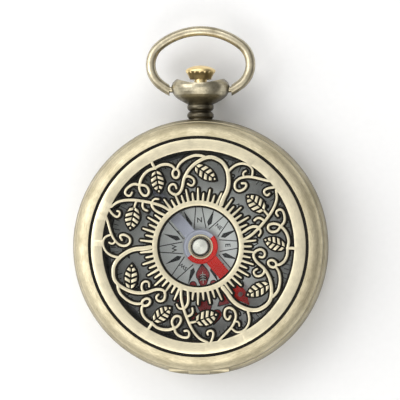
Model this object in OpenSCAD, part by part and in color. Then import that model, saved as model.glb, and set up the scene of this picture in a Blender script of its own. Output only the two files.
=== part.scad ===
// Pocket compass in a hunter style watch case: a jointed assembly.
// The back rests on Z = 0, +Z points at the viewer of the dial and +Y at the pendant.

/* [Case] */
// Outside radius of the case band where it is widest
case_r = 23.5; // [23.3:0.1:24]
// Height of the seam between the case band and the lid
seam_z = 9; // [9:0.1:9.6]
// Thickness of the back cover's flat middle
back_t = 1; // [0.8:0.1:1.2]
// Depth of the compass bowl below the crystal, outside
cup_h = 4.65; // [4.4:0.05:5]

/* [Lid] */
// Outside radius of the lid at the seam
lid_r = 22.7; // [22.6:0.1:23]
// Height of the lid above the seam
lid_h = 3.35; // [3.3:0.05:4]
// Radius of the openwork plate
plate_r = 19.55; // [19.2:0.05:19.7]
// Thickness of the openwork plate
plate_t = 1.2; // [1:0.1:1.4]
// Height of the raised bars on the plate's leaves
relief_t = 0.4; // [0.3:0.1:0.6]
// Radius of the hole in the middle of the plate
window_r = 7.45; // [7:0.05:7.5]

/* [Pendant] */
// Distance from the middle of the case to the bow's pivot
pivot_y = 28.9; // [28.7:0.1:29.3]
// Largest radius of the pendant's bulb
bulb_r = 5.35; // [5.1:0.05:5.4]
// Radius of the crown's cap
crown_r = 2.75; // [2.4:0.05:2.9]
// Radius of the bow's wire
bow_wire_r = 0.9; // [0.7:0.05:0.95]

/* [Needle] */
// Distance from the pivot to each tip of the needle
needle_len = 14; // [12:0.5:15.5]
// Width of the needle's arms
needle_w = 2.2; // [1.6:0.1:2.6]
// Direction of the needle's marked end, counterclockwise from +X
needle_angle = -50; // [-180:5:180]

/* [Hidden] */
$fn = 96;
eps = 0.01;

// Case band, from the back upwards
back_z = 2.3;
snap_z = 3.05;
ledge_z = 3.5;
bulge_z = 6;
bulge_r = 8;
band_in_r = 19.25;
snap_r = 22;
clamp_r = 21.2;
clamp_screw_r = 20.45;
clamp_screw_top_z = ledge_z + 0.9;
clamp_shank_r = 0.4;
guard_r = 21.6;
guard_in_r = 19.65;
guard_h = 1;
shoulder_chamfer = 0.2;

// Groove for the springs, level with the pendant
axis_z = 6.1;
groove_h = 3;
groove_r = 21.3;
spring_h = 2.2;
spring_out_r = 20.85;
spring_t = 0.45;
eye_r = 0.8;
eye_bore_r = 0.5;
eye_at_r = 20.4;
post_top_z = seam_z + 0.9;
nose_h = 0.4;
lock_eye_angle = 145;
lock_tip_angle = 90;
lock_nose_r = 21.2;
lift_eye_angle = -18;
lift_tip_angle = -73.5;
lift_nose_r = 21.62;
slot_r = 21.75;

// Compass bowl, crystal and bezel
cup_z = ledge_z;
cup_r = 19.2;
cup_in_r = 17.9;
cup_floor = 0.8;
dial_z = cup_z + cup_floor;
dial_t = 0.3;
dial_r = 17.8;
flank_in_r = 16.8;
crystal_z = 8.45;
crystal_t = 0.8;
crystal_r = 18.7;
bezel_z = 8.2;
bezel_r = 19.6;
bezel_in_r = 17.7;
bezel_top_z = seam_z + 0.85;

// Lid shell
lid_z = seam_z + 0.05;
lid_top_z = seam_z + lid_h;
lid_in_r = 21.7;
lid_round = 2.45;
groove_out_r = plate_r + 0.55;
plate_ledge_r = 18.6;
plate_top_z = lid_top_z - 0.05;
plate_z = plate_top_z - plate_t;
ledge_t = 0.55;
inlay_sink = 0.25;

// Lid hinge
hinge_y = -22.3;
knuckle_r = 0.9;
hinge_pin_r = 0.35;
hinge_half = 5.5;
lid_knuckle_half = 1.95;
side_gap = 0.05;
turn_gap = 0.05;
notch_half = 7.4;
notch_z = seam_z - 0.9;

// Pendant, crown and bow
spigot_r = 2;
stem_r = 1.13;
sleeve_in_r = 1.2;
sleeve_r = 1.6;
sleeve_end_y = 29.4;
stem_end_y = 20.95;
crown_y = 30.75;
saddle_r = 10.2;
saddle_y = 29.85;
bow_side_r = 4.6;
bow_reach = 5.81;
bow_turn = atan2(bow_reach, bow_side_r);
bow_top_r = norm([bow_side_r, bow_reach]) + bow_side_r;
bow_mid_y = pivot_y + bow_side_r;
bow_end_turn = asin((bow_side_r + bow_reach) / bow_top_r);
bow_end_x = bulb_r + 0.4;
bow_joint_w = 0.3;
bow_pin_r = 0.55;
bow_pin_in = 4.4;

// Needle and pivot
blade_z = 5.7;
blade_t = 0.25;
needle_ring_r = 3.2;
hub_r = 1.95;
pivot_tip_z = 6.15;

// Openwork plate
sectors = 3;
rim_in_r = 17.5;
sun_ring_r = 8.35;
spikes = 60;
long_spike_r = 10.65;
short_spike_r = 9.8;
steps = 2;

// Centre lines of the openwork's scrolls, from the vine's root outwards
vine = [[4.2, 7.6], [4.7, 8.9], [5.25, 10], [5.55, 11.2], [5.55, 12.4], [5.3, 13.8], [4.6, 15.05],
    [3.65, 15.75], [2.5, 16.2], [1.4, 16.1], [0.4, 15.65], [-0.6, 15], [-1.45, 14.2],
    [-2.1, 13.25], [-2.55, 12.3], [-2.75, 11.3], [-2.95, 10.5], [-3.4, 9.75], [-4.05, 9.4],
    [-4.75, 9.65], [-5.25, 10.2], [-5.2, 10.9], [-4.7, 11.3], [-4.15, 11.15], [-3.95, 10.6]];
top_arc = [[1.4, 16.1], [0.6, 16.45], [-0.4, 16.55], [-1.2, 16.35], [-2.1, 16], [-2.9, 15.45],
    [-3.5, 14.8], [-3.8, 14.1]];
outer_arc = [[-4.3, 14.1], [-4.6, 14.5], [-5.3, 14.85], [-6.1, 14.92], [-6.9, 14.75],
    [-7.5, 14.45], [-8, 14.2], [-8.8, 13.95], [-9.5, 13.45], [-10.1, 12.75], [-10.5, 11.95],
    [-10.65, 11.1]];
rim_stub = [[-7.8, 14.2], [-8.2, 14.8], [-8.55, 15.6]];
outer_curl = [[-10.5, 11.1], [-11.4, 11.35], [-12.1, 11.2], [-12.7, 10.8], [-13.15, 10.3],
    [-13.3, 9.8], [-13.1, 9.4], [-12.65, 9.2], [-12.25, 9.35], [-12.05, 9.8]];
branch = [[-15.9, 7.2], [-14.9, 7.95], [-14.1, 8.25], [-13.2, 8.42], [-12.2, 8.45], [-11.2, 8.38],
    [-10.2, 8.25], [-9.3, 8.1], [-8.6, 7.95], [-8.2, 7.8]];
branch_leg_a = [[-8.4, 7.9], [-7.3, 7.6], [-6.4, 7.25], [-5.6, 6.8], [-5.1, 6.4]];
branch_leg_b = [[-8.5, 7.95], [-8.35, 7.3], [-8, 6.75], [-7.4, 6.3], [-6.7, 5.95], [-6, 5.6]];
leg_curl = [[-8.4, 8], [-8.15, 8.45], [-7.75, 8.65], [-7.2, 8.6]];
branch_hook = [[-10, 8.2], [-10.1, 7.6], [-10.05, 7.1], [-9.75, 6.7], [-9.2, 6.5]];
branch_stem = [[-11.15, 8.4], [-11.4, 7.8], [-11.6, 7.2]];
rim_hook = [[-16.3, 6.8], [-15.7, 6], [-15.2, 5.55], [-14.8, 5.4], [-14.4, 5.6], [-14.25, 6.05],
    [-14.4, 6.35], [-14.75, 6.45]];
rim_spiral = [[-16.9, 5.7], [-16.5, 4.6], [-16.2, 3.5], [-15.9, 2.5], [-15.5, 1.6],
    [-14.95, 0.85], [-14.3, 0.3], [-13.5, 0.1], [-12.85, 0.3], [-12.4, 0.75], [-12.4, 1.35],
    [-12.8, 1.8], [-13.4, 2.1], [-13.95, 2.1], [-14.2, 1.75], [-13.9, 1.2]];
rim_arc = [[-15.9, 2.15], [-16.6, 1.9], [-17.1, 1.5], [-17.35, 0.7], [-17.2, -0.2],
    [-16.7, -1], [-16, -1.55], [-15.2, -1.85], [-14.5, -2]];
spiral_curl = [[-15.1, 1], [-15.4, 0.6], [-15.8, 0.5], [-16.2, 0.7]];
vine_curl = [[-2.5, 12.55], [-1.9, 12.75], [-1.3, 12.6], [-0.8, 12.2], [-0.65, 11.7],
    [-0.85, 11.25], [-1.3, 11.05], [-1.85, 11.35]];
branch_loop = [[-10.65, 11.1], [-9.85, 11.1], [-9.3, 10.8], [-8.95, 10.2], [-9, 9.65],
    [-9.4, 9.25], [-9.95, 9.3], [-10.4, 9.8], [-10.65, 10.4]];
// Each leaf's stalk, tip and half width
leaves = [[[-0.75, 14.75], [3.45, 11.95], 1.27], [[-7.75, 14.05], [-7.05, 9.6], 1.3],
    [[-11.55, 7.5], [-12.45, 2.9], 1.45]];
drop_at = [-4.03, 13.25];
drop_size = [0.6, 0.78];

// A point on the smooth curve between b and c
function between(a, b, c, d, t) =
    (2 * b + (c - a) * t + (2 * a - 5 * b + 4 * c - d) * t * t
    + (3 * b - a - 3 * c + d) * t * t * t) / 2;

// The smooth curve through a list of points
function smooth(p) = let (n = len(p)) concat(
    [for (i = [0 : n - 2], j = [0 : steps - 1])
        between(p[max(i - 1, 0)], p[i], p[i + 1], p[min(i + 2, n - 1)], j / steps)],
    [p[n - 1]]);

// The smooth closed curve through a list of points
function smooth_loop(p) = let (n = len(p))
    [for (i = [0 : n - 1], j = [0 : steps - 1])
        between(p[(i + n - 1) % n], p[i], p[(i + 1) % n], p[(i + 2) % n], j / steps)];

function left_of(v) = [-v[1], v[0]] / norm(v);

// One side of a stroke whose width goes evenly from w0 to w1
function stroke_side(q, w0, w1, side) = let (n = len(q))
    [for (i = [0 : n - 1])
        q[i] + left_of(q[min(i + 1, n - 1)] - q[max(i - 1, 0)])
            * side * (w0 + (w1 - w0) * i / (n - 1)) / 2];

function reversed(p) = [for (i = [len(p) - 1 : -1 : 0]) p[i]];

function on_circle(r, a) = [r * cos(a), r * sin(a)];

function ellipse_loop(at, size, n) =
    [for (i = [0 : n - 1]) at + [size[0] * cos(360 * i / n), size[1] * sin(360 * i / n)]];

// Half width of a leaf at a part of its length, from 0 at the stalk to 1 at the tip
function leaf_half(t, w) = w * pow(sin(180 * pow(t, 0.9)), 0.7);

module ring_2d(r_out, r_in) {
    difference() {
        circle(r_out);
        circle(r_in);
    }
}

module tube(r_out, r_in, h) {
    linear_extrude(h) ring_2d(r_out, r_in);
}

// A length along +Y, level with the pendant
module along_y(y) {
    translate([0, y, axis_z]) rotate([-90, 0, 0]) children();
}

module stroke(p, w0, w1) {
    q = smooth(p);
    polygon(concat(stroke_side(q, w0, w1, 1), reversed(stroke_side(q, w0, w1, -1))));
    translate(p[0]) circle(d = w0, $fn = 12);
    translate(p[len(p) - 1]) circle(d = w1, $fn = 12);
}

module loop_stroke(q, w) {
    difference() {
        offset(r = w / 2, $fn = 16) polygon(q);
        offset(r = -w / 2, $fn = 16) polygon(q);
    }
}

module scrolls_2d() {
    stroke(vine, 0.75, 0.36);
    stroke(top_arc, 0.5, 0.42);
    stroke(outer_arc, 0.44, 0.5);
    stroke(rim_stub, 0.48, 0.48);
    stroke(outer_curl, 0.46, 0.36);
    stroke(branch, 0.42, 0.5);
    stroke(branch_leg_a, 0.48, 0.44);
    stroke(branch_leg_b, 0.46, 0.44);
    stroke(leg_curl, 0.36, 0.32);
    stroke(branch_hook, 0.42, 0.34);
    stroke(branch_stem, 0.42, 0.34);
    stroke(rim_hook, 0.42, 0.34);
    stroke(rim_spiral, 0.42, 0.4);
    stroke(rim_arc, 0.36, 0.42);
    stroke(spiral_curl, 0.34, 0.3);
    stroke(vine_curl, 0.42, 0.34);
    loop_stroke(smooth_loop(branch_loop), 0.42);
    loop_stroke(ellipse_loop(drop_at, drop_size, 28), 0.42);
}

module leaf_outline_2d(length, w) {
    n = 14;
    edge = [for (i = [0 : n]) [length * i / n, leaf_half(i / n, w)]];
    polygon(concat(edge, reversed([for (p = edge) [p[0], -p[1]]])));
}

module leaf_blank(length, w) {
    linear_extrude(plate_t - relief_t) leaf_outline_2d(length, w);
}

// The raised bars between a leaf's dark veins
module leaf_bars(length, w) {
    bars = 4;
    pitch = length * 0.2;
    bar_w = pitch * 0.56;
    rib = 0.13;
    slant = 0.42;
    border = 0.16;
    translate([0, 0, plate_t - relief_t]) {
        for (i = [0 : bars - 1], side = [-1, 1]) {
            x = length * 0.08 + pitch * i;
            w0 = leaf_half(min((x + w * slant * 0.6) / length, 1), w) - border;
            w1 = leaf_half(min((x + bar_w + w * slant * 0.6) / length, 1), w) - border;
            linear_extrude(relief_t)
                polygon([[x, side * rib], [x + bar_w, side * rib],
                    [x + bar_w + w1 * slant, side * w1], [x + w0 * slant, side * w0]]);
        }
        translate([length * 0.9, 0, 0]) cylinder(r = 0.17, h = relief_t);
    }
}

// The row of pointed teeth around the middle ring, apart from those the vines take up
module spikes_2d() {
    pitch = 360 / spikes;
    for (i = [0 : spikes / sectors - 1])
        if (i * pitch != 12 && i * pitch != 18 && i * pitch != 60) {
            tip_r = (i % 2 == 1) ? long_spike_r : short_spike_r;
            rotate(i * pitch) {
                polygon([[sun_ring_r - 0.3, -0.25], [tip_r - 0.14, -0.14],
                    [tip_r - 0.14, 0.14], [sun_ring_r - 0.3, 0.25]]);
                translate([tip_r - 0.14, 0]) circle(r = 0.14, $fn = 8);
            }
        }
}

module pattern_2d() {
    for (i = [0 : sectors - 1])
        rotate(i * 360 / sectors) {
            scrolls_2d();
            spikes_2d();
        }
}

// The pierced plate without its leaves, merged into one outline
module plate_2d() {
    offset(delta = 0) {
        pattern_2d();
        ring_2d(sun_ring_r, window_r);
        ring_2d(plate_r, rim_in_r);
    }
}

// Runs children in the place of each leaf of one sector
module at_leaves(raised) {
    for (leaf = leaves)
        translate(leaf[0])
            rotate(atan2(leaf[1][1] - leaf[0][1], leaf[1][0] - leaf[0][0]))
                if (raised) leaf_bars(norm(leaf[1] - leaf[0]), leaf[2]);
                else leaf_blank(norm(leaf[1] - leaf[0]), leaf[2]);
}

// A curved leaf spring that ends in an eye round its screw and a post through the rim
module spring_body(eye_a, tip_a) {
    from_a = min(eye_a, tip_a);
    sweep = abs(eye_a - tip_a);
    eye = on_circle(eye_at_r, eye_a);
    translate([0, 0, axis_z - spring_h / 2]) {
        difference() {
            union() {
                rotate([0, 0, from_a])
                    rotate_extrude(angle = sweep)
                        translate([spring_out_r - spring_t, 0]) square([spring_t, spring_h]);
                translate(eye) cylinder(r = eye_r, h = spring_h);
            }
            translate([eye[0], eye[1], -1]) cylinder(r = eye_bore_r, h = spring_h + 2);
        }
    }
}

module spring_post(tip_a, nose_r, half_w) {
    post_z = axis_z + spring_h / 2 - 0.2;
    rotate([0, 0, tip_a]) {
        translate([spring_out_r - spring_t, -half_w, post_z])
            cube([spring_t, 2 * half_w, post_top_z - post_z]);
        translate([spring_out_r - spring_t, -half_w, post_top_z - nose_h])
            cube([nose_r - spring_out_r + spring_t, 2 * half_w, nose_h]);
    }
}

module spring_slot(a, half_w) {
    rotate([0, 0, a])
        translate([guard_in_r - 0.5, -half_w, axis_z])
            cube([slot_r - guard_in_r + 0.5, 2 * half_w, seam_z + guard_h + 1 - axis_z]);
}

module hinge_cylinder(r, x0, x1) {
    translate([x0, hinge_y, seam_z]) rotate([0, 90, 0]) cylinder(r = r, h = x1 - x0);
}

module at_clamps() {
    for (a = [60, 180, 300])
        rotate([0, 0, a]) children();
}

module at_spring_screws() {
    for (a = [lock_eye_angle, lift_eye_angle])
        rotate([0, 0, a]) translate([eye_at_r, 0, 0]) children();
}

module band_profile() {
    outer = case_r - bulge_r;
    intersection() {
        translate([outer, bulge_z]) circle(bulge_r);
        polygon([[band_in_r, ledge_z], [clamp_r, ledge_z], [clamp_r, snap_z], [snap_r, snap_z],
            [snap_r, back_z], [case_r + 1, back_z], [case_r + 1, seam_z - 0.9],
            [case_r - 0.35, seam_z - shoulder_chamfer], [case_r - 0.65, seam_z],
            [guard_r, seam_z], [guard_r, seam_z + guard_h], [guard_in_r, seam_z + guard_h],
            [guard_in_r, bezel_z], [band_in_r, bezel_z], [band_in_r, axis_z + groove_h / 2],
            [groove_r, axis_z + groove_h / 2], [groove_r, axis_z - groove_h / 2],
            [band_in_r, axis_z - groove_h / 2]]);
    }
}

module case_middle() {
    color("tan") {
        difference() {
            rotate_extrude() band_profile();
            translate([-notch_half, -case_r - 1, notch_z])
                cube([2 * notch_half, case_r + 1 + hinge_y, seam_z + 0.1 - notch_z]);
            hinge_cylinder(knuckle_r + turn_gap, -lid_knuckle_half - side_gap,
                lid_knuckle_half + side_gap);
            hinge_cylinder(hinge_pin_r, -hinge_half, hinge_half);
            spring_slot(lock_tip_angle, 1.25);
            spring_slot(lift_tip_angle, 0.95);
            along_y(groove_r - 0.5) cylinder(r = sleeve_in_r + 0.05, h = 3);
            along_y(22) cylinder(r = spigot_r, h = 3);
            at_clamps()
                translate([clamp_screw_r, 0, snap_z])
                    cylinder(r = clamp_shank_r, h = clamp_screw_top_z - snap_z);
            at_spring_screws() {
                translate([0, 0, ledge_z - 1]) cylinder(r = 0.85, h = 1.55);
                cylinder(r = 0.45, h = axis_z + groove_h / 2 + 0.4);
            }
        }
        case_knuckles();
    }
}

module case_knuckles() {
    for (side = [0, 1])
        mirror([side, 0, 0])
            difference() {
                intersection() {
                    hinge_cylinder(knuckle_r, lid_knuckle_half + side_gap, hinge_half);
                    translate([0, 0, seam_z - 2]) cylinder(r = case_r - 0.12, h = 4);
                }
                hinge_cylinder(hinge_pin_r, 0, hinge_half + 1);
            }
}

module hinge_pin() {
    color("silver") hinge_cylinder(hinge_pin_r, -hinge_half, hinge_half);
}

module back_cover() {
    rim_z = back_z - 0.05;
    color("darkkhaki")
        rotate_extrude()
            polygon(concat(
                smooth([[17.5, 0], [19.4, 0.2], [21, 0.75], [22.1, 1.5], [22.6, rim_z]]),
                [[21.95, rim_z], [21.95, snap_z - 0.1], [21.45, snap_z - 0.1],
                    [21.45, 2], [20.6, 1.6], [18, back_t + 0.1], [0, back_t], [0, 0]]));
}

module capsule_cup() {
    color("goldenrod")
        difference() {
            translate([0, 0, cup_z]) cylinder(r = cup_r, h = cup_h);
            translate([0, 0, dial_z]) cylinder(r = cup_in_r, h = cup_h);
            cylinder(r = 0.6, h = cup_z + cup_h);
        }
}

module dial_card() {
    color("lightgrey")
        translate([0, 0, dial_z]) tube(dial_r, 0.6, dial_t);
}

// The black flank between the dial and the crystal
module spacer_ring() {
    z = dial_z + dial_t;
    color("black")
        rotate_extrude()
            polygon([[flank_in_r, z], [dial_r, z], [dial_r, crystal_z], [dial_r - 0.3, crystal_z],
                [flank_in_r, z + 0.3]]);
}

module pivot_pin() {
    color("silver")
        rotate_extrude()
            polygon([[0, cup_z], [0.6, cup_z], [0.6, dial_z + dial_t + 0.1], [0.3, dial_z + 0.7],
                [0.3, pivot_tip_z - 0.55], [0.05, pivot_tip_z], [0, pivot_tip_z]]);
}

module crystal() {
    color("lightcyan", 0.3)
        translate([0, 0, crystal_z]) cylinder(r = crystal_r, h = crystal_t);
}

module crystal_bezel() {
    top = crystal_z + crystal_t;
    color("gold")
        rotate_extrude()
            polygon([[crystal_r, bezel_z], [bezel_r, bezel_z], [bezel_r, bezel_top_z - 0.3],
                [bezel_r - 0.3, bezel_top_z], [bezel_in_r + 0.9, bezel_top_z],
                [bezel_in_r, top + 0.15], [bezel_in_r, top], [crystal_r, top]]);
}

module case_clamps() {
    color("silver")
        at_clamps()
            difference() {
                translate([18.4, -1.2, snap_z]) cube([2.6, 2.4, ledge_z - snap_z]);
                translate([clamp_screw_r, 0, 0]) cylinder(r = clamp_shank_r, h = ledge_z + 1);
            }
}

module slotted_screw(head_r, head_z, seat_z, shank_r, top_z) {
    difference() {
        union() {
            translate([0, 0, head_z]) cylinder(r = head_r, h = seat_z - head_z);
            translate([0, 0, head_z]) cylinder(r = shank_r, h = top_z - head_z);
        }
        translate([-head_r - 1, -0.12, head_z - 1]) cube([2 * head_r + 2, 0.24, 1.25]);
    }
}

module clamp_screws() {
    color("lightsteelblue")
        at_clamps()
            translate([clamp_screw_r, 0, 0])
                slotted_screw(0.75, snap_z - 0.6, snap_z, clamp_shank_r, clamp_screw_top_z);
}

module spring_screws() {
    color("lightsteelblue")
        at_spring_screws()
            slotted_screw(0.85, ledge_z, ledge_z + 0.55, 0.45, axis_z + groove_h / 2 + 0.4);
}

module lid_profile() {
    shoulder_r = lid_r - lid_round;
    under_z = plate_z - ledge_t;
    intersection() {
        polygon([[lid_in_r, lid_z], [lid_r, lid_z], [lid_r + eps, lid_top_z],
            [groove_out_r, lid_top_z], [groove_out_r, plate_z], [plate_ledge_r, plate_z],
            [plate_ledge_r, under_z], [lid_in_r - 0.4, under_z], [lid_in_r, under_z - 0.4]]);
        union() {
            square([lid_r, lid_top_z - lid_round]);
            translate([shoulder_r, lid_top_z - lid_round]) circle(lid_round);
            square([shoulder_r, lid_top_z]);
        }
    }
}

// The lid's shell, with its hinge knuckle and the lip that the lock spring catches
module lid_bezel() {
    color("tan")
        difference() {
            union() {
                rotate_extrude() lid_profile();
                hinge_cylinder(knuckle_r, -lid_knuckle_half, lid_knuckle_half);
                intersection() {
                    translate([-0.9, 0, lid_z]) cube([1.8, lid_r - 0.4, 0.4]);
                    translate([0, 0, lid_z]) tube(lid_r - 0.4, lock_nose_r + 0.05, 0.4);
                }
            }
            hinge_cylinder(hinge_pin_r + turn_gap, -hinge_half, hinge_half);
            for (side = [0, 1])
                mirror([side, 0, 0])
                    hinge_cylinder(knuckle_r + turn_gap, lid_knuckle_half, hinge_half + 0.1);
        }
}

module openwork_plate() {
    color("wheat")
        translate([0, 0, plate_z]) {
            linear_extrude(plate_t) plate_2d();
            for (i = [0 : sectors - 1])
                rotate([0, 0, i * 360 / sectors]) {
                    at_leaves(false);
                    at_leaves(true);
                }
        }
}

module groove_inlay() {
    color("black")
        translate([0, 0, plate_z])
            tube(groove_out_r, plate_r, plate_t - inlay_sink);
}

module pendant_profile() {
    intersection() {
        union() {
            square([1.95, 27]);
            translate([1.65, 24.1]) circle(0.8);
            translate([1.65, 25.65]) circle(0.8);
            polygon(concat([[0, 26.15]],
                smooth([[2.3, 26.15], [3.8, 26.95], [4.85, 27.8], [bulb_r, 29], [5.15, 30.1],
                    [4.35, 30.85]]),
                [[4.35, 31], [0, 31]]));
        }
        translate([0, 20]) square([case_r, 11]);
    }
}

module pendant() {
    color("darkkhaki")
        difference() {
            union() {
                difference() {
                    along_y(0) rotate_extrude() pendant_profile();
                    cylinder(r = case_r, h = lid_top_z + 5);
                }
                along_y(22) cylinder(r = spigot_r, h = 2);
            }
            along_y(21) cylinder(r = sleeve_r, h = 12);
            translate([0, saddle_y + saddle_r, -1]) cylinder(r = saddle_r, h = 20);
            bow_pin_holes();
        }
}

module bow_pin_holes() {
    for (side = [0, 1])
        mirror([side, 0, 0])
            translate([bow_pin_in - 0.1, pivot_y, axis_z])
                rotate([0, 90, 0]) cylinder(r = bow_pin_r + 0.06, h = 3);
}

module pendant_sleeve() {
    color("gold")
        along_y(22)
            tube(sleeve_r, sleeve_in_r, sleeve_end_y - 22);
}

module crown_cap() {
    flutes = 18;
    h = 2.6;
    color("gold")
        along_y(crown_y)
            difference() {
                rotate_extrude()
                    polygon(concat([[0, 0]],
                        smooth([[1.95, 0], [2.25, 0.7], [crown_r - 0.1, 1.3], [crown_r, 1.65],
                            [crown_r - 0.2, 1.9], [1.9, 2.25], [1, 2.5], [0, h]])));
                for (i = [0 : flutes - 1])
                    rotate([0, 0, (i + 0.5) * 360 / flutes])
                        translate([2.45, 0, -0.1])
                            rotate([0, 12, 0]) cylinder(r = 0.2, h = 1.5, $fn = 24);
            }
}

module crown_stem() {
    collar_h = 0.2;
    color("gold") {
        along_y(stem_end_y) cylinder(r = stem_r, h = crown_y - stem_end_y);
        along_y(stem_end_y) cylinder(r = stem_r + 0.2, h = collar_h);
    }
}

// An arc of the bow's wire, which stops just short of its joints
module wire_arc(at, r, a0, a1) {
    trim = bow_joint_w / 4 / r * 180 / PI;
    translate([at[0], at[1], axis_z])
        rotate([0, 0, a0 + trim])
            rotate_extrude(angle = a1 - a0 - 2 * trim) translate([r, 0]) circle(bow_wire_r);
}

// The brazed joint of two arcs, at an angle around the bow's side arc
module wire_joint(turn) {
    translate([bow_side_r, bow_mid_y, axis_z])
        rotate([0, 0, turn])
            translate([bow_side_r, 0, 0])
                rotate([90, 0, 0]) cylinder(r = bow_wire_r + 0.02, h = bow_joint_w, center = true);
}

module bow() {
    color("darkkhaki") {
        wire_arc([0, bow_mid_y - bow_reach], bow_top_r, bow_turn, 180 - bow_turn);
        for (side = [0, 1])
            mirror([side, 0, 0]) {
                wire_joint(bow_turn);
                wire_arc([bow_side_r, bow_mid_y], bow_side_r, -bow_turn, bow_turn);
                wire_joint(-bow_turn);
                difference() {
                    wire_arc([0, bow_mid_y + bow_reach], bow_top_r, -bow_end_turn - 6, -bow_turn);
                    translate([0, pivot_y, axis_z])
                        cube([2 * bow_end_x, 6, 6], center = true);
                }
                translate([bow_pin_in, pivot_y, axis_z])
                    rotate([0, 90, 0]) cylinder(r = bow_pin_r, h = bow_end_x - bow_pin_in + 0.4);
            }
    }
}

module needle_arm_2d() {
    polygon([[0, -needle_w / 2], [needle_len - 2.2, -needle_w / 2],
        [needle_len, 0], [needle_len - 2.2, needle_w / 2], [0, needle_w / 2]]);
}

module needle_blade() {
    color("red")
        rotate([0, 0, needle_angle])
            translate([0, 0, blade_z])
                linear_extrude(blade_t)
                    difference() {
                        union() {
                            circle(needle_ring_r);
                            needle_arm_2d();
                            rotate(180) needle_arm_2d();
                        }
                        circle(1.15);
                        translate([needle_len - 2.6, 0]) circle(0.45);
                    }
}

module needle_hub() {
    top = blade_z + blade_t;
    color("khaki")
        rotate_extrude()
            polygon([[0.75, blade_z - 0.35], [1.15, blade_z - 0.35], [1.15, top], [hub_r, top],
                [hub_r, top + 0.15], [1.7, top + 0.3], [1.55, top + 0.25], [1.5, top + 0.75],
                [1.35, top + 0.9], [0, top + 1.05], [0, top + 0.5], [0.75, top + 0.5]]);
}

module needle_jewel() {
    top = blade_z + blade_t + 0.5;
    color("crimson")
        rotate_extrude()
            polygon([[0.75, blade_z], [0.75, top], [0, top], [0, pivot_tip_z + 0.03],
                [0.1, pivot_tip_z + 0.03], [0.5, blade_z]]);
}

module lock_spring() {
    color("steelblue") {
        spring_body(lock_eye_angle, lock_tip_angle - 1.6);
        spring_post(lock_tip_angle, lock_nose_r, 0.6);
    }
}

module lift_spring() {
    color("steelblue") {
        spring_body(lift_eye_angle, lift_tip_angle - 1.6);
        spring_post(lift_tip_angle, lift_nose_r, 0.6);
    }
}

case_middle();
back_cover();
capsule_cup();
dial_card();
spacer_ring();
pivot_pin();
crystal();
crystal_bezel();
pendant();
pendant_sleeve();
hinge_pin();
case_clamps();
clamp_screws();
spring_screws();
lid_bezel();
openwork_plate();
groove_inlay();
crown_cap();
crown_stem();
bow();
needle_blade();
needle_hub();
needle_jewel();
lock_spring();
lift_spring();
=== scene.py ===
"""Looks for the pocket compass: materials, pierced lid, printed dial, needle, light and camera."""
import bpy
import bmesh
import math
from mathutils import Matrix, Vector


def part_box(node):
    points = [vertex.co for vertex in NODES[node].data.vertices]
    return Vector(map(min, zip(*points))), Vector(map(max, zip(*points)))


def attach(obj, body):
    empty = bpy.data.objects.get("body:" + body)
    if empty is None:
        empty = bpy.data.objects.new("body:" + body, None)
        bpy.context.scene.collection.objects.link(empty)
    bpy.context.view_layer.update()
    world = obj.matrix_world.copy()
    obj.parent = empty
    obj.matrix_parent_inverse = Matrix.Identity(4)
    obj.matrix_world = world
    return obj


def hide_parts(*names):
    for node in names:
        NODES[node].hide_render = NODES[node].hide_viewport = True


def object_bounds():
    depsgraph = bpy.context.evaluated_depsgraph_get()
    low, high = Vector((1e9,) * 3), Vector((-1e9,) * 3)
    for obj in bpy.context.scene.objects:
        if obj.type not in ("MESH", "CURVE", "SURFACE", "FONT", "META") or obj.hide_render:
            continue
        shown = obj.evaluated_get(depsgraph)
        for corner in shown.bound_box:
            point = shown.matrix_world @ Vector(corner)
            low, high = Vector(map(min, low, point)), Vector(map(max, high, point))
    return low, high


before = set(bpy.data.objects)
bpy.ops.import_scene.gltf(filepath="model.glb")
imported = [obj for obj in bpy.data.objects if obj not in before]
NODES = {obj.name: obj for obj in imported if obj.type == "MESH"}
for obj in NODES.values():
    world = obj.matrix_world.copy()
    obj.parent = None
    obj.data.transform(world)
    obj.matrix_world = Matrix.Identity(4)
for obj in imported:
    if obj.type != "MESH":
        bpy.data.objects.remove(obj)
CAD_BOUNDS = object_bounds()
MM = 0.001

# ---------------------------------------------------------------- places taken from the frame

PLATE_LOW, PLATE_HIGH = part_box("openwork_plate")
LID_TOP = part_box("lid_bezel")[1].z
DIAL_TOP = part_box("dial_card")[1].z
BLADE_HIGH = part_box("needle_blade")[1].z
PENDANT_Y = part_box("case_middle")[1].y

# ---------------------------------------------------------------- shader helpers

# How long the marks of a lathe are next to their width: a radian of turn counts as this many metres.
STREAK = 0.002


def new_material(name):
    """A material with an empty tree apart from its Principled shader and output."""
    mat = bpy.data.materials.new(name)
    mat.use_nodes = True
    tree = mat.node_tree
    shader = tree.nodes["Principled BSDF"]
    return mat, tree, shader


def node(tree, kind, **values):
    """A node with some of its properties and inputs set by name."""
    n = tree.nodes.new(kind)
    for key, value in values.items():
        if key in n.inputs.keys():
            n.inputs[key].default_value = value
        else:
            setattr(n, key, value)
    return n


def math_node(tree, operation, a, b=None, clamp=False):
    """The result of a Math node on two numbers or sockets."""
    n = tree.nodes.new("ShaderNodeMath")
    n.operation = operation
    n.use_clamp = clamp
    for i, value in enumerate((a, b)):
        if value is None:
            continue
        if isinstance(value, (int, float)):
            n.inputs[i].default_value = value
        else:
            tree.links.new(value, n.inputs[i])
    return n.outputs[0]


def mix_colour(tree, factor, a, b, blend="MIX"):
    """The colour between a and b, each a colour or a socket."""
    n = tree.nodes.new("ShaderNodeMix")
    n.data_type = "RGBA"
    n.blend_type = blend
    sockets = (n.inputs[0], n.inputs[6], n.inputs[7])
    for socket, value in zip(sockets, (factor, a, b)):
        if isinstance(value, (int, float)):
            socket.default_value = value
        elif isinstance(value, tuple):
            socket.default_value = (*value, 1)
        else:
            tree.links.new(value, socket)
    return n.outputs[2]


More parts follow.
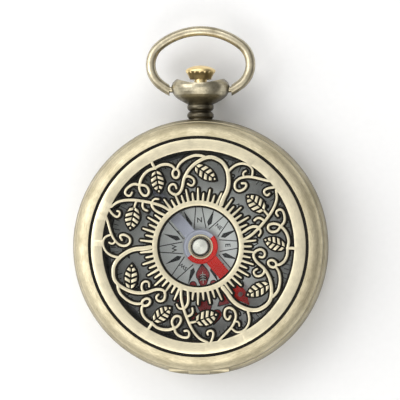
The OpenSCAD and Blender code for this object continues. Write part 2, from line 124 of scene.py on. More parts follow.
def ramp(tree, value, stops):
    """A ramp over (place, grey) stops."""
    n = tree.nodes.new("ShaderNodeValToRGB")
    elements = n.color_ramp.elements
    while len(elements) < len(stops):
        elements.new(0.5)
    for element, (place, grey) in zip(elements, stops):
        element.position = place
        element.color = (grey, grey, grey, 1)
    tree.links.new(value, n.inputs[0])
    return n.outputs[0]


def object_place(tree):
    """A point's coordinates in metres, which the CAD and every piece share at rest."""
    return node(tree, "ShaderNodeTexCoord").outputs["Object"]


def noise(tree, place, scale, detail, roughness=0.55):
    """Noise from 0 to 1, with about scale lumps in a metre."""
    n = node(tree, "ShaderNodeTexNoise", Scale=scale, Detail=detail, Roughness=roughness)
    tree.links.new(place, n.inputs["Vector"])
    return n.outputs["Fac"]


def split(tree, place):
    """The X, Y and Z of a vector."""
    n = tree.nodes.new("ShaderNodeSeparateXYZ")
    tree.links.new(place, n.inputs[0])
    return n.outputs


def bump(tree, shader, height, strength, distance):
    """Gives the shader a relief, distance metres high."""
    n = node(tree, "ShaderNodeBump", Strength=strength, Distance=distance)
    tree.links.new(height, n.inputs["Height"])
    tree.links.new(n.outputs[0], shader.inputs["Normal"])


def set_roughness(tree, shader, low, value, share):
    """Roughness low, and up to share more where value is high."""
    rough = math_node(tree, "ADD", low, math_node(tree, "MULTIPLY", value, share))
    tree.links.new(rough, shader.inputs["Roughness"])


def scaled(colour, share):
    return tuple(c * share for c in colour)


def radius_and_angle(tree, place):
    """How far a point is from the Z axis, and its angle round it."""
    x, y, _ = split(tree, place)
    square = math_node(tree, "ADD", math_node(tree, "MULTIPLY", x, x), math_node(tree, "MULTIPLY", y, y))
    return math_node(tree, "SQRT", square), math_node(tree, "ARCTAN2", y, x)


def turned_place(tree, place):
    """Coordinates in which noise runs in long streaks round the Z axis, as the marks of a lathe do."""
    radius, around = radius_and_angle(tree, place)
    joined = tree.nodes.new("ShaderNodeCombineXYZ")
    streak = math_node(tree, "MULTIPLY", around, STREAK)
    for i, value in enumerate((radius, streak, split(tree, place)[2])):
        tree.links.new(value, joined.inputs[i])
    return joined.outputs[0]


def side_grime(tree, low, high):
    """A mask for painted shade: 1 where the surface faces sideways in the object's own frame, 0 where it
    faces up or down.
    """
    facing = split(tree, node(tree, "ShaderNodeTexCoord").outputs["Normal"])[2]
    return ramp(tree, math_node(tree, "ABSOLUTE", facing), [(low, 1.0), (high, 0.0)])


def fade_along_y(tree, place, low, high):
    """1 below the first Y, 0 above the second, and even between them."""
    below = math_node(tree, "SUBTRACT", high, split(tree, place)[1])
    return math_node(tree, "DIVIDE", below, high - low, clamp=True)


# ---------------------------------------------------------------- materials


def aged_brass(name, bright, dark, rough, grain=0.25, turned=False, patina=0.5, side_shade=0.0, darkened_span=None):
    """Brass with a brushed grain, cloudy tarnish, darker stained patches and painted shade on its steep
    sides.
    turned runs the grain round the Z axis, as on a lathe. darkened_span is a (y, y, strength) span over
    which a darkening of the colour fades out."""
    mat, tree, shader = new_material(name)
    place = object_place(tree)
    grain_place = turned_place(tree, place) if turned else place
    grain_scale = 9000 if turned else 5200
    fine = noise(tree, grain_place, grain_scale, 2)
    stain = ramp(tree, noise(tree, place, 260, 5, 0.6), [(0.42, 0.0), (0.72, 1.0)])
    speck = ramp(tree, noise(tree, place, 1500, 4, 0.65), [(0.45, 0.0), (0.75, 1.0)])
    marks = ramp(tree, fine, [(0.35, 0.0), (0.75, 1.0)])
    toned = bright
    for layer, share in ((stain, patina), (speck, patina * 0.5), (marks, grain)):
        toned = mix_colour(tree, math_node(tree, "MULTIPLY", layer, share), toned, dark)
    if side_shade:
        # Painted shade: faces that turn sideways are darkened towards a deep copy of the tarnish colour.
        shaded_sides = math_node(tree, "MULTIPLY", side_grime(tree, 0.05, 0.5), side_shade)
        toned = mix_colour(tree, shaded_sides, toned, scaled(dark, 0.25))
    if darkened_span:
        low, high, strength = darkened_span
        # Darkens the colour below the span's first Y, fading out by its second; on the pendant's neck this
        # is painted shade.
        span_darkening = math_node(tree, "MULTIPLY", fade_along_y(tree, place, low, high), strength)
        toned = mix_colour(tree, span_darkening, toned, scaled(dark, 0.3))
    tree.links.new(toned, shader.inputs["Base Color"])
    shader.inputs["Metallic"].default_value = 1
    dull = math_node(tree, "ADD", rough - grain * 0.2, math_node(tree, "MULTIPLY", stain, 0.12))
    set_roughness(tree, shader, dull, fine, grain * 0.4)
    bump(tree, shader, fine, grain, 0.02 * MM)
    return mat


def polished(name, bright, dark, rough=0.12):
    """Clean polished metal, a little cloudy, with faint wiping marks."""
    mat, tree, shader = new_material(name)
    place = object_place(tree)
    cloud = noise(tree, place, 420, 4)
    fine = noise(tree, place, 6000, 2)
    toned = mix_colour(tree, ramp(tree, cloud, [(0.4, 0.0), (0.8, 0.6)]), bright, dark)
    tree.links.new(toned, shader.inputs["Base Color"])
    shader.inputs["Metallic"].default_value = 1
    set_roughness(tree, shader, rough - 0.05, cloud, 0.12)
    bump(tree, shader, fine, 0.06, 0.01 * MM)
    return mat


def relief_brass(name, bright, wall, top_z, fade):
    """Polished relief whose sides turn black with old patina below its top."""
    mat, tree, shader = new_material(name)
    place = object_place(tree)
    z = split(tree, place)[2]
    depth = math_node(tree, "DIVIDE", math_node(tree, "SUBTRACT", top_z, z), fade, clamp=True)
    cloud = noise(tree, place, 500, 4)
    fine = noise(tree, turned_place(tree, place), 9000, 2)
    uneven = math_node(tree, "MULTIPLY", math_node(tree, "SUBTRACT", cloud, 0.5), 0.35)
    black = ramp(tree, math_node(tree, "ADD", depth, uneven), [(0.35, 0.0), (0.75, 1.0)])
    aged = mix_colour(tree, ramp(tree, cloud, [(0.45, 0.0), (0.8, 0.5)]), bright, scaled(bright, 0.6))
    aged = mix_colour(tree, ramp(tree, fine, [(0.4, 0.0), (0.8, 0.35)]), aged, scaled(bright, 0.5))
    tree.links.new(mix_colour(tree, black, aged, wall), shader.inputs["Base Color"])
    bare = math_node(tree, "SUBTRACT", 1, math_node(tree, "MULTIPLY", black, 0.6))
    tree.links.new(bare, shader.inputs["Metallic"])
    set_roughness(tree, shader, 0.3, black, 0.35)
    bump(tree, shader, fine, 0.3, 0.02 * MM)
    return mat


def black_patina(name, tone):
    """Blackened brass: nearly black, with a little brown metal rubbed through."""
    mat, tree, shader = new_material(name)
    place = object_place(tree)
    cloud = noise(tree, place, 900, 4)
    rubbed = ramp(tree, cloud, [(0.5, 0.0), (0.85, 1.0)])
    tree.links.new(mix_colour(tree, rubbed, tone, (0.03, 0.024, 0.013)), shader.inputs["Base Color"])
    set_roughness(tree, shader, 0.5, cloud, 0.25)
    shader.inputs["Specular IOR Level"].default_value = 0.2
    bump(tree, shader, cloud, 0.3, 0.03 * MM)
    return mat


def lacquer(name, colour, rough):
    """Paint or enamel with a faint unevenness and orange peel."""
    mat, tree, shader = new_material(name)
    place = object_place(tree)
    cloud = noise(tree, place, 600, 4)
    tree.links.new(mix_colour(tree, cloud, colour, scaled(colour, 0.85)), shader.inputs["Base Color"])
    set_roughness(tree, shader, rough - 0.05, cloud, 0.1)
    bump(tree, shader, noise(tree, place, 3000, 2), 0.08, 0.02 * MM)
    return mat


def dial_metal(name):
    """The card: matte silvered metal with a fine grain and a slight warm and cool drift."""
    mat, tree, shader = new_material(name)
    place = object_place(tree)
    cloud = noise(tree, place, 160, 4)
    grain = noise(tree, place, 7000, 2)
    drift = mix_colour(tree, cloud, (0.93, 0.94, 0.92), (0.80, 0.81, 0.79))
    grained = mix_colour(tree, math_node(tree, "MULTIPLY", grain, 0.35), drift, (0.62, 0.63, 0.62))
    tree.links.new(grained, shader.inputs["Base Color"])
    shader.inputs["Metallic"].default_value = 0.25
    set_roughness(tree, shader, 0.5, grain, 0.15)
    bump(tree, shader, grain, 0.15, 0.02 * MM)
    return mat


def two_tone_needle(name, angle, red, silver):
    """Enamel that is red on the marked half of the needle and silver blue on the other."""
    mat, tree, shader = new_material(name)
    place = object_place(tree)
    x, y, _ = split(tree, place)
    along = math_node(tree, "ADD", math_node(tree, "MULTIPLY", x, math.cos(angle)),
                      math_node(tree, "MULTIPLY", y, math.sin(angle)))
    side = math_node(tree, "GREATER_THAN", along, 0.0)
    cloud = noise(tree, place, 700, 4)
    shade = math_node(tree, "MULTIPLY", ramp(tree, cloud, [(0.3, 0.0), (0.8, 1.0)]), 0.3)
    red_tone = mix_colour(tree, shade, red, scaled(red, 0.55))
    silver_tone = mix_colour(tree, shade, silver, scaled(silver, 0.7))
    tree.links.new(mix_colour(tree, side, silver_tone, red_tone), shader.inputs["Base Color"])
    metallic = math_node(tree, "MULTIPLY", math_node(tree, "SUBTRACT", 1, side), 0.55)
    tree.links.new(metallic, shader.inputs["Metallic"])
    set_roughness(tree, shader, 0.3, cloud, 0.15)
    shader.inputs["Specular IOR Level"].default_value = 0.25
    bump(tree, shader, noise(tree, place, 2500, 2), 0.06, 0.02 * MM)
    return mat


def hub_metal(name, cap, collar, cap_r, shaded_gap_r):
    """Cream polished cap out to cap_r with a painted sheen, lighter and darker by turns round it; a
    near-black ring of painted shade for the gap out to shaded_gap_r; and a brass collar beyond it.
    """
    mat, tree, shader = new_material(name)
    place = object_place(tree)
    radius, around = radius_and_angle(tree, place)
    # Painted highlight: a conical sheen on the cap, lighter and darker by turns twice round its axis.
    wave = math_node(tree, "SINE", math_node(tree, "MULTIPLY", around, 2))
    painted_sheen = math_node(tree, "ADD", 0.5, math_node(tree, "MULTIPLY", 0.5, wave))
    cap_tone = mix_colour(tree, painted_sheen, cap, scaled(cap, 0.78))
    shaded_gap_mask = math_node(tree, "GREATER_THAN", radius, cap_r)
    collar_side = math_node(tree, "GREATER_THAN", radius, shaded_gap_r)
    # Painted shade: the gap between the cap and the collar is coloured near-black.
    tone = mix_colour(tree, shaded_gap_mask, cap_tone, (0.02, 0.015, 0.012))
    tree.links.new(mix_colour(tree, collar_side, tone, collar), shader.inputs["Base Color"])
    shader.inputs["Metallic"].default_value = 0.8
    fine = noise(tree, place, 6000, 2)
    set_roughness(tree, shader, 0.22, fine, 0.15)
    bump(tree, shader, fine, 0.08, 0.01 * MM)
    return mat


def steel(name, tone, rough):
    """Turned or drawn steel with a fine grain."""
    mat, tree, shader = new_material(name)
    place = object_place(tree)
    fine = noise(tree, place, 6500, 2)
    cloud = noise(tree, place, 500, 3)
    tree.links.new(mix_colour(tree, cloud, tone, scaled(tone, 0.75)), shader.inputs["Base Color"])
    set_roughness(tree, shader, rough - 0.1, fine, 0.2)
    shader.inputs["Metallic"].default_value = 1
    bump(tree, shader, fine, 0.12, 0.02 * MM)
    return mat


def clear_glass(name):
    """Thin glass: it lets light straight through and only adds its reflections."""
    mat = bpy.data.materials.new(name)
    mat.use_nodes = True
    tree = mat.node_tree
    tree.nodes.remove(tree.nodes["Principled BSDF"])
    out = tree.nodes["Material Output"]
    through = node(tree, "ShaderNodeBsdfTransparent", Color=(0.97, 0.98, 0.98, 1))
    shine = node(tree, "ShaderNodeBsdfGlossy", Roughness=0.03)
    facing = node(tree, "ShaderNodeLayerWeight", Blend=0.5).outputs["Facing"]
    smear = noise(tree, object_place(tree), 120, 4)
    edge_shine = math_node(tree, "MULTIPLY", math_node(tree, "POWER", facing, 4.0), 0.35)
    amount = math_node(tree, "ADD", edge_shine, math_node(tree, "MULTIPLY", smear, 0.03))
    both = node(tree, "ShaderNodeMixShader")
    tree.links.new(amount, both.inputs[0])
    tree.links.new(through.outputs[0], both.inputs[1])
    tree.links.new(shine.outputs[0], both.inputs[2])
    tree.links.new(both.outputs[0], out.inputs["Surface"])
    return mat


def floor_paper(name):
    """Matte white paper."""
    mat, tree, shader = new_material(name)
    fibre = noise(tree, object_place(tree), 800, 4)
    tone = mix_colour(tree, fibre, (0.92, 0.92, 0.92), (0.88, 0.88, 0.88))
    tree.links.new(tone, shader.inputs["Base Color"])
    shader.inputs["Roughness"].default_value = 0.9
    return mat


CHAMPAGNE = (0.79, 0.71, 0.505)
SHADOWED = (0.34, 0.29, 0.17)
BLACK = (0.008, 0.007, 0.005)
# The way that the needle's red arm points.
NEEDLE_ANGLE = math.radians(-50)
# The hub's cap, and the outer edge of the ring of painted shade for the gap round it.
HUB_CAP_R = 1.53 * MM
HUB_SHADED_GAP_R = 1.72 * MM
# The relief turns black within this depth of its top.
RELIEF_FADE = 0.16 * MM
# The case darkens towards its hinge end, and painted shade darkens the pendant's neck between the case and
# the bulb.
HINGE_DARKENING = (-PENDANT_Y, -PENDANT_Y + 1.6 * MM, 0.7)
NECK_SHADE = (PENDANT_Y + 2.2 * MM, PENDANT_Y + 4.6 * MM, 0.9)

M_LID = aged_brass("lid_brass", CHAMPAGNE, SHADOWED, rough=0.52, grain=0.5, turned=True, patina=0.4,
                   side_shade=0.9)
M_CASE = aged_brass("case_brass", (0.74, 0.66, 0.47), SHADOWED, rough=0.42, grain=0.35, turned=True,
                    side_shade=0.9, darkened_span=HINGE_DARKENING)
M_PENDANT = aged_brass("pendant_brass", (0.66, 0.60, 0.44), (0.17, 0.14, 0.09), rough=0.32, patina=0.85,
                       side_shade=0.8, darkened_span=NECK_SHADE)
M_BOW = aged_brass("bow_brass", (0.70, 0.63, 0.46), (0.20, 0.165, 0.10), rough=0.3, patina=0.75, side_shade=0.95)
M_BOWL = aged_brass("inner_brass", (0.70, 0.56, 0.28), SHADOWED, rough=0.35, turned=True)
M_BRIGHT = polished("polished_brass", (0.86, 0.72, 0.42), (0.62, 0.48, 0.22))
M_GILT = polished("crown_gilt", (1.0, 0.80, 0.42), (0.88, 0.64, 0.28), rough=0.3)
M_HUB = hub_metal("needle_brass", (0.90, 0.88, 0.78), (0.80, 0.72, 0.52), HUB_CAP_R, HUB_SHADED_GAP_R)
M_BLACK = lacquer("black_lacquer", (0.010, 0.010, 0.009), rough=0.4)
M_DARK = black_patina("black_patina", BLACK)
M_RELIEF = relief_brass("openwork_brass", (0.82, 0.74, 0.53), BLACK, PLATE_HIGH.z, RELIEF_FADE)
M_INK = lacquer("dial_ink", (0.012, 0.012, 0.012), rough=0.5)
M_RED_INK = lacquer("dial_red", (0.42, 0.012, 0.015), rough=0.4)
M_PALE_INK = lacquer("dial_pale", (0.75, 0.68, 0.62), rough=0.5)
M_DIAL = dial_metal("dial_silvered")
M_STEEL = steel("steel", (0.55, 0.56, 0.58), rough=0.3)
M_BLUED = steel("spring_steel", (0.16, 0.20, 0.38), rough=0.25)
M_NEEDLE = two_tone_needle("needle_enamel", NEEDLE_ANGLE, (0.74, 0.012, 0.004), (0.50, 0.51, 0.60))
M_JEWEL = lacquer("jewel", (0.45, 0.02, 0.08), rough=0.1)
M_GLASS = clear_glass("crystal_glass")

FINISHES = {
    "case_middle": M_CASE, "back_cover": M_CASE, "lid_bezel": M_LID, "pendant": M_PENDANT, "bow": M_BOW,
    "capsule_cup": M_BOWL, "crystal_bezel": M_BRIGHT, "pendant_sleeve": M_BRIGHT, "crown_cap": M_GILT,
    "crown_stem": M_GILT, "dial_card": M_DIAL, "spacer_ring": M_BLACK, "groove_inlay": M_DARK,
    "pivot_pin": M_STEEL, "hinge_pin": M_STEEL, "case_clamps": M_STEEL, "clamp_screws": M_STEEL,
    "spring_screws": M_STEEL, "lock_spring": M_BLUED, "lift_spring": M_BLUED, "needle_hub": M_HUB,
    "needle_jewel": M_JEWEL, "crystal": M_GLASS, "openwork_plate": M_LID, "needle_blade": M_NEEDLE,
}

for cad_name, cad_mat in FINISHES.items():
    slots = NODES[cad_name].data.materials
    slots.clear()
    slots.append(cad_mat)

# ---------------------------------------------------------------- floor, light and camera

# The camera looks straight down, but for a slight lean, on a square this wide.
ACROSS = 72.6 * MM
LOOK_AT = Vector((0.36 * MM, 8.42 * MM, LID_TOP))
LEAN_RIGHT = math.radians(4.2)
LEAN_DOWN = math.radians(1.5)
CAMERA_DISTANCE = 0.5
SENSOR = 36
FLOOR_SIZE = 3
FLOOR_GAP = 0.1 * MM


def make_floor():
    bpy.ops.mesh.primitive_plane_add(size=FLOOR_SIZE, location=(0, 0, CAD_BOUNDS[0][2] - FLOOR_GAP))
    floor = bpy.context.object
    floor.name = "floor"
    floor.data.materials.append(floor_paper("floor_paper"))


def area_light(name, place, size, power, colour=(1, 1, 1)):
    """A soft rectangular light that faces the middle of the case."""
    data = bpy.data.lights.new(name, "AREA")
    data.shape = "RECTANGLE"
    data.size, data.size_y = size
    data.energy = power
    data.color = colour
    light = bpy.data.objects.new(name, data)
    light.location = place
    light.rotation_euler = (-Vector(place)).to_track_quat("-Z", "Y").to_euler()
    bpy.context.scene.collection.objects.link(light)


def make_world():
    """A pale studio, brightest overhead and towards the left, and darkest round the horizon."""
    world = bpy.data.worlds.new("studio")
    world.use_nodes = True
    tree = world.node_tree
    x, _, up = split(tree, node(tree, "ShaderNodeTexCoord").outputs["Generated"])
    height = math_node(tree, "ADD", math_node(tree, "MULTIPLY", up, 0.5), 0.5)
    greys = [(0.0, 0.55), (0.5, 0.16), (0.7, 0.3), (0.86, 0.62), (0.97, 0.82), (1.0, 0.84)]
    sky = ramp(tree, height, greys)
    side = math_node(tree, "ADD", 1, math_node(tree, "MULTIPLY", x, -0.5))
    sky = mix_colour(tree, 1.0, sky, side, "MULTIPLY")
    tree.links.new(sky, tree.nodes["Background"].inputs["Color"])
    bpy.context.scene.world = world


def make_camera():
    data = bpy.data.cameras.new("camera")
    data.sensor_width = SENSOR
    data.lens = SENSOR * CAMERA_DISTANCE / ACROSS
    camera = bpy.data.objects.new("camera", data)
    back = Vector((math.sin(LEAN_RIGHT), -math.sin(LEAN_DOWN), 1)).normalized()
    right = Vector((0, 1, 0)).cross(back).normalized()
    up = back.cross(right)
    turn = Matrix((right, up, back)).transposed().to_4x4()
    camera.matrix_world = Matrix.Translation(LOOK_AT + back * CAMERA_DISTANCE) @ turn
    bpy.context.scene.collection.objects.link(camera)
    bpy.context.scene.camera = camera


bpy.context.scene.view_settings.view_transform = "Standard"
make_floor()
make_world()
# Each light: its place, its two sides in metres, its power in watts and its colour where it isn't white.
area_light("key", (-0.42, 0.08, 0.34), (0.45, 0.5), 1.6)
area_light("back", (-0.05, 0.42, 0.42), (0.4, 0.25), 0.7)
area_light("fill", (0.0, -0.36, 0.44), (0.45, 0.3), 1.0, (1, 0.98, 0.94))
make_camera()

# ---------------------------------------------------------------- mesh helpers

# Faces this close in height are level with each other.
SAME_HEIGHT = 0.01 * MM
# Keeps the way out from growing too long at a sharp corner.
CORNER_LIMIT = 0.4


def mesh_object(name, verts, faces, mat):
    """A new object in the scene from points and faces."""
    mesh = bpy.data.meshes.new(name)
    mesh.from_pydata([tuple(v) for v in verts], [], faces)
    mesh.validate()
    mesh.materials.append(mat)
    obj = bpy.data.objects.new(name, mesh)
    bpy.context.scene.collection.objects.link(obj)
    return obj


def flat_region(cad_name, height):
    """A CAD node's level faces at one height: (x, y) points, and each face as a list of point numbers."""
    mesh = NODES[cad_name].data
    places, faces = {}, []
    for face in mesh.polygons:
        corners = [mesh.vertices[i].co for i in face.vertices]
        if face.normal.z < 0.99 or any(abs(c.z - height) > SAME_HEIGHT for c in corners):
            continue
        row = [places.setdefault((round(c.x, 7), round(c.y, 7)), len(places)) for c in corners]
        if len(set(row)) == len(row):
            faces.append(row)
    return list(places), faces


def rim_edges(faces):
    """The directed edges that only one face has, with that face on their left."""
    edges = {(a, b) for face in faces for a, b in zip(face, face[1:] + face[:1])}
    return sorted((a, b) for a, b in edges if (b, a) not in edges)


def rim_loops(faces):
    """The rim edges joined into closed lists of point numbers."""
    onward = {}
    for a, b in rim_edges(faces):
        onward.setdefault(a, []).append(b)
    loops = []
    while onward:
        start = min(onward)
        loop, here = [], start
        while here in onward:
            loop.append(here)
            step = onward[here].pop()
            if not onward[here]:
                del onward[here]
            here = step
        loops.append(loop)
    return loops


def islands(faces):
    """The faces in groups that share points."""
    owner = {}

    def root(i):
        chain = []
        while owner.setdefault(i, i) != i:
            chain.append(i)
            i = owner[i]
        for link in chain:
            owner[link] = i
        return i

    for face in faces:
        for i in face[1:]:
            owner[root(i)] = root(face[0])
    groups = {}
    for face in faces:
        groups.setdefault(root(face[0]), []).append(face)
    return list(groups.values())


def loop_area(loop):
    """The area inside a loop of points, positive where it runs anticlockwise."""
    return sum(a[0] * b[1] - b[0] * a[1] for a, b in zip(loop, loop[1:] + loop[:1])) / 2


def region_area(points, faces):
    return sum(loop_area([points[i] for i in face]) for face in faces)


def outward(points, faces):
    """For each point on the rim, the way out of the region, longer at a corner."""
    ways = {}
    for a, b in rim_edges(faces):
        along = Vector(points[b]) - Vector(points[a])
        if along.length == 0:
            continue
        way = Vector((along.y, -along.x)).normalized()
        for i in (a, b):
            ways.setdefault(i, []).append(way)
    result = {}
    for i, found in ways.items():
        mean = sum(found, Vector((0, 0))) / len(found)
        result[i] = mean / max(mean.length_squared, CORNER_LIMIT)
    return result


def raised(name, points, faces, rings, mat, base_mat=None):
    """A closed piece over a flat region. rings are (grow, height) pairs from the top edge down to the base.
    base_mat is a second material for its underside."""
    ways = outward(points, faces)
    used = sorted({i for face in faces for i in face})
    verts = []
    for grow, height in rings:
        for i in used:
            x, y = Vector(points[i]) + ways.get(i, Vector((0, 0))) * grow
            verts.append((x, y, height))
    place = {i: k for k, i in enumerate(used)}
    count = len(used)
    last = count * (len(rings) - 1)
    tops = [[place[i] for i in face] for face in faces]
    bases = [[last + place[i] for i in reversed(face)] for face in faces]
    sides = []
    rim = rim_edges(faces)
    for ring in range(len(rings) - 1):
        upper, lower = ring * count, (ring + 1) * count
        for a, b in rim:
            sides.append([upper + place[a], lower + place[a], lower + place[b], upper + place[b]])
    piece = mesh_object(name, verts, tops + bases + sides, mat)
    for face in piece.data.polygons[len(tops) + len(bases):]:
        face.use_smooth = True
    piece.data.set_sharp_from_angle(angle=math.radians(40))
    if base_mat:
        piece.data.materials.append(base_mat)
        for face in piece.data.polygons[len(tops):len(tops) + len(bases)]:
            face.material_index = 1
    drop_loose(piece.data)
    return piece


def drop_loose(mesh):
    """Takes out points that no face uses."""
    work = bmesh.new()
    work.from_mesh(mesh)
    bmesh.ops.delete(work, geom=[v for v in work.verts if not v.link_faces], context="VERTS")
    work.to_mesh(mesh)
    work.free()


# ---------------------------------------------------------------- the pierced plate

# Height of the leaf bars over their blanks, in the CAD plate.
RELIEF_H = 0.4 * MM
# The black step: how far it is below the vines' top, and how far it stands out round vines and leaves.
STEP_DROP = 0.32 * MM
STEP_GROW = 0.36 * MM
LEAF_GROW = 0.15 * MM
EDGE_R = 0.07 * MM
# A flat island smaller than this is a bar of a leaf.
BAR_AREA = 2.5 * MM * MM


def rounded(grow, top, base, edge):
    """Rings for an eased top edge and an upright side."""
    return [(grow - edge, top), (grow - 0.3 * edge, top - 0.3 * edge), (grow, top - edge), (grow, base)]


def plate_regions(top):
    """The CAD plate's flat faces as (points, faces): vines, leaf bars, and leaf blanks as one face each."""
    points, faces = flat_region("openwork_plate", top)
    bars, vines = [], []
    for group in islands(faces):
        (bars if region_area(points, group) < BAR_AREA else vines).extend(group)
    low_points, low_faces = flat_region("openwork_plate", top - RELIEF_H)
    loops = rim_loops(low_faces)
    blanks = [loop for loop in loops if loop_area([low_points[i] for i in loop]) > BAR_AREA]
    return (points, vines), (points, bars), (low_points, blanks)


def make_openwork():
    """Bright relief over a black step, both from the CAD plate's own outlines, with plain brass below."""
    top, base = PLATE_HIGH.z, PLATE_LOW.z
    blank_top = top - RELIEF_H
    vines, bars, blanks = plate_regions(top)
    pieces = [
        raised("vine_relief", *vines, rounded(0, top, blank_top, EDGE_R), M_RELIEF),
        raised("leaf_bars", *bars, rounded(0, top, blank_top - EDGE_R, EDGE_R), M_RELIEF),
        raised("vine_ground", *vines, rounded(STEP_GROW, top - STEP_DROP, base, EDGE_R), M_DARK, M_LID),
        raised("leaf_ground", *blanks, rounded(LEAF_GROW, blank_top, base, 2 * EDGE_R), M_DARK, M_LID),
    ]
    for piece in pieces:
        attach(piece, "lid")
    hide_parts("openwork_plate")


make_openwork()

# ---------------------------------------------------------------- the needle's collars

COLLAR_STEPS = 96
COLLAR_SINK = 0.02 * MM
COLLAR_CHAMFER = 0.07 * MM


def turned_ring(name, profile, mat):
    """A closed ring turned round the Z axis from (radius, height) points."""
    verts, faces = [], []
    for i in range(COLLAR_STEPS):
        angle = 2 * math.pi * i / COLLAR_STEPS
        verts += [(r * math.cos(angle), r * math.sin(angle), z) for r, z in profile]
    count = len(profile)
    for i in range(COLLAR_STEPS):
        here, there = i * count, (i + 1) % COLLAR_STEPS * count
        for k in range(count):
            j = (k + 1) % count
            faces.append([here + k, there + k, there + j, here + j])
    piece = mesh_object(name, verts, faces, mat)
    piece.data.shade_smooth()
    piece.data.set_sharp_from_angle(angle=math.radians(30))
    return piece


def needle_collar(name, inner, outer, height, mat):
    """A raised ring on the blade with chamfered upper edges."""
    low = BLADE_HIGH - COLLAR_SINK
    top = BLADE_HIGH + height
    shoulder = top - COLLAR_CHAMFER
    profile = [(inner, low), (outer, low), (outer, shoulder), (outer - COLLAR_CHAMFER, top),
               (inner + COLLAR_CHAMFER, top), (inner, shoulder)]
    piece = turned_ring(name, profile, mat)
    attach(piece, "needle")


needle_collar("needle_outer_collar", 2.55 * MM, 3.12 * MM, 0.16 * MM, M_NEEDLE)
needle_collar("needle_inner_collar", 2.02 * MM, 2.3 * MM, 0.22 * MM, M_HUB)

# ---------------------------------------------------------------- the printed dial

# The card is turned a little against the case, and north is at its top.
DIAL_TURN = math.radians(3.4)
NORTH = DIAL_TURN + math.pi / 2
SOUTH = DIAL_TURN - math.pi / 2
POINT_NAMES = ("N", "NW", "W", "SW", "S", "SE", "E", "NE")
POINT_STEP = 2 * math.pi / len(POINT_NAMES)

INK_LOW = DIAL_TOP - 0.01 * MM
INK_HIGH = DIAL_TOP + 0.02 * MM
RED_RISE = 0.02 * MM
VEIN_RISE = 0.04 * MM
LINE_W = 0.17 * MM
FINE_LINE_W = 0.12 * MM

# Each ray: where its lines start, where they reach the arrow, and the arrow's tip.
RAY_START_R, RAY_START_HALF_W = 3.4 * MM, 1.08 * MM
ARROW_R, RAY_END_HALF_W, ARROW_HALF_W = 8.6 * MM, 0.42 * MM, 0.95 * MM
ARROW_TIP_R = 10.6 * MM
# Each kite: its inner point, its widest place and its outer point.
KITE_NEAR_R, KITE_WIDE_R, KITE_FAR_R, KITE_HALF_W = 4.05 * MM, 4.7 * MM, 7.4 * MM, 0.44 * MM

TICKS = 120
LONG_TICK_EVERY = 5
TICK_OUTER_R, TICK_INNER_R, LONG_TICK_INNER_R = 16.7 * MM, 15.8 * MM, 15.3 * MM
DEGREE_STEP = 30
DEGREE_R, DEGREE_SIZE = 13.9 * MM, 1.9 * MM
LETTER_R, LETTER_SIZE, LETTER_PAIR_SIZE = 4.9 * MM, 1.3 * MM, 1.0 * MM
# How much bolder than the font the letters are, as a share of their size.
LETTER_WEIGHT = 0.02

DROP_STEPS = 20
OUTLINE_W = 0.16 * MM
OUTLINE_TIP = 0.2 * MM
# The leaf vein: the ends of its spine, where its side veins start, and how far they run along and beside it.
SPINE_NEAR_R, SPINE_FAR_R = 4.6 * MM, 6.8 * MM
SIDE_VEIN_RADII = (5.0 * MM, 5.45 * MM, 5.9 * MM)
SIDE_VEIN_ALONG, SIDE_VEIN_BESIDE = 0.25 * MM, 0.5 * MM


def turned_point(radius, offset, angle):
    """A point at a radius along a direction and an offset to its left."""
    c, s = math.cos(angle), math.sin(angle)
    return (radius * c - offset * s, radius * s + offset * c)


def line_outline(a, b, width):
    """A thin bar between two points."""
    along = (Vector(b) - Vector(a)).normalized()
    side = Vector((-along.y, along.x)) * width / 2
    return [tuple(Vector(p) + side * k) for p, k in ((a, 1), (a, -1), (b, -1), (b, 1))]


def print_on_dial(piece):
    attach(piece, "case")


def flat_print(name, outlines, mat, rise=0.0):
    """Thin flat inlays of ink, one prism for each outline of the list, rise above the other ink."""
    verts, faces = [], []
    for outline in outlines:
        n = len(outline)
        base = len(verts)
        verts += [(x, y, INK_LOW) for x, y in outline]
        verts += [(x, y, INK_HIGH + rise) for x, y in outline]
        turn = 1 if loop_area(outline) > 0 else -1
        faces.append([base + n + i for i in range(n)][::turn])
        faces.append([base + i for i in range(n)][::-turn])
        for i in range(n):
            j = (i + 1) % n
            faces.append([base + i, base + j, base + n + j, base + n + i][::turn])
    print_on_dial(mesh_object(name, verts, faces, mat))


def ray_lines():
    """A ray at each point but south: two lines that draw together, then an arrow tip."""
    lines = []
    for i, point in enumerate(POINT_NAMES):
        if point == "S":
            continue
        angle = NORTH + POINT_STEP * i
        for side in (-1, 1):
            near = turned_point(RAY_START_R, side * RAY_START_HALF_W, angle)
            mid = turned_point(ARROW_R, side * RAY_END_HALF_W, angle)
            wide = turned_point(ARROW_R, side * ARROW_HALF_W, angle)
            tip = turned_point(ARROW_TIP_R, 0, angle)
            lines.append(line_outline(near, mid, LINE_W))
            lines.append(line_outline(mid, wide, LINE_W))
            lines.append(line_outline(wide, tip, LINE_W))
    return lines


def kites():
    """A dark kite between each two points."""
    shape = ((KITE_NEAR_R, 0), (KITE_WIDE_R, -KITE_HALF_W), (KITE_FAR_R, 0), (KITE_WIDE_R, KITE_HALF_W))
    angles = [NORTH + POINT_STEP * (i - 0.5) for i in range(len(POINT_NAMES))]
    return [[turned_point(r, offset, angle) for r, offset in shape] for angle in angles]


def scale_marks():
    """Ticks round the edge of the card, some of them longer."""
    marks = []
    for i in range(TICKS):
        angle = DIAL_TURN + 2 * math.pi * i / TICKS
        inner = TICK_INNER_R if i % LONG_TICK_EVERY else LONG_TICK_INNER_R
        ends = turned_point(inner, 0, angle), turned_point(TICK_OUTER_R, 0, angle)
        marks.append(line_outline(*ends, FINE_LINE_W))
    return marks


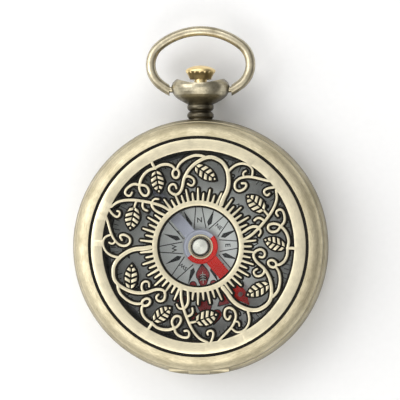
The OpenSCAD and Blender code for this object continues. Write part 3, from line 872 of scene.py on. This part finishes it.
def dial_text(name, words, radius, angle, size):
    """Raised lettering that reads from the middle of the dial."""
    data = bpy.data.curves.new(name, "FONT")
    data.body = words
    data.size = size
    data.align_x = "CENTER"
    data.align_y = "CENTER"
    data.extrude = (INK_HIGH - INK_LOW) / 2
    data.offset = size * LETTER_WEIGHT
    data.resolution_u = 3
    text = bpy.data.objects.new(name, data)
    x, y = turned_point(radius, 0, angle)
    place = Matrix.Translation((x, y, (INK_LOW + INK_HIGH) / 2))
    text.matrix_world = place @ Matrix.Rotation(angle - math.pi / 2, 4, "Z")
    bpy.context.scene.collection.objects.link(text)
    return text


def lettering():
    """The words on the card: compass points inside the rays, and degrees round the edge."""
    parts = []
    for i, words in enumerate(POINT_NAMES):
        size = LETTER_SIZE if len(words) == 1 else LETTER_PAIR_SIZE
        if words != "S":
            parts.append(dial_text("letter", words, LETTER_R, NORTH + POINT_STEP * i, size))
    for degrees in range(0, 360, DEGREE_STEP):
        angle = NORTH - math.radians(degrees)
        parts.append(dial_text("degree", str(degrees), DEGREE_R, angle, DEGREE_SIZE))
    return parts


def dial_letters():
    """All the lettering joined into one mesh."""
    parts = lettering()
    bpy.context.view_layer.update()
    graph = bpy.context.evaluated_depsgraph_get()
    joined = bmesh.new()
    for part in parts:
        shape = bpy.data.meshes.new_from_object(part.evaluated_get(graph))
        shape.transform(part.matrix_world)
        joined.from_mesh(shape)
        bpy.data.meshes.remove(shape)
        bpy.data.objects.remove(part)
    piece = mesh_object("dial_letters", [], [], M_INK)
    joined.to_mesh(piece.data)
    joined.free()
    print_on_dial(piece)


def drop_outline(centre, radius, length, angle, grow=0.0):
    """A pointed drop: a round end with its tip a length away along the angle."""
    points = []
    for i in range(DROP_STEPS):
        t = 2 * math.pi * i / DROP_STEPS
        reach = max(math.cos(t), 0) ** 3
        along = (radius + grow) * math.cos(t) + (length - radius) * reach
        across = (radius + grow) * math.sin(t) * (1 - 0.45 * reach)
        x, y = turned_point(along, across, angle)
        points.append((centre[0] + x, centre[1] + y))
    return points


def drops():
    """The south ornament's drops as (centre, radius, length, angle). Those beside its axis come in pairs."""
    found = []
    # Each row: distance along the axis, distance beside it, radius, length, and turn of the tip in radians.
    rows = ((5.2, 0, 1.15, 1.75, math.pi), (5.9, 0, 0.85, 2.0, 0), (6.9, 1.9, 0.55, 1.0, 0.5),
            (9.7, 4.2, 1.0, 2.0, 0.9), (10.6, 0, 1.3, 2.6, 0), (12.6, 2.2, 0.8, 1.8, 0.4))
    for away, beside, radius, length, turn in rows:
        sides = (-1, 1) if beside else (1,)
        for side in sides:
            centre = turned_point(away * MM, side * beside * MM, SOUTH)
            found.append((centre, radius * MM, length * MM, SOUTH - side * turn))
    return found


def veins():
    """The pale leaf vein in the middle drop: a spine and three pairs of side veins."""
    near, far = turned_point(SPINE_NEAR_R, 0, SOUTH), turned_point(SPINE_FAR_R, 0, SOUTH)
    lines = [line_outline(near, far, FINE_LINE_W)]
    for radius in SIDE_VEIN_RADII:
        for side in (-1, 1):
            root = turned_point(radius, 0, SOUTH)
            end = turned_point(radius + SIDE_VEIN_ALONG, side * SIDE_VEIN_BESIDE, SOUTH)
            lines.append(line_outline(root, end, FINE_LINE_W))
    return lines


def red_ornament():
    """The south point of the rose: red drops with black outlines, and a pale leaf vein."""
    red = [drop_outline(*drop) for drop in drops()]
    black = []
    for centre, radius, length, angle in drops():
        black.append(drop_outline(centre, radius, length + OUTLINE_TIP, angle, OUTLINE_W))
    flat_print("ornament_outline", black, M_INK)
    flat_print("ornament_red", red, M_RED_INK, RED_RISE)
    flat_print("ornament_veins", veins(), M_PALE_INK, VEIN_RISE)


flat_print("dial_rays", ray_lines(), M_INK)
flat_print("dial_kites", kites(), M_INK)
flat_print("dial_scale", scale_marks(), M_INK)
dial_letters()
red_ornament()
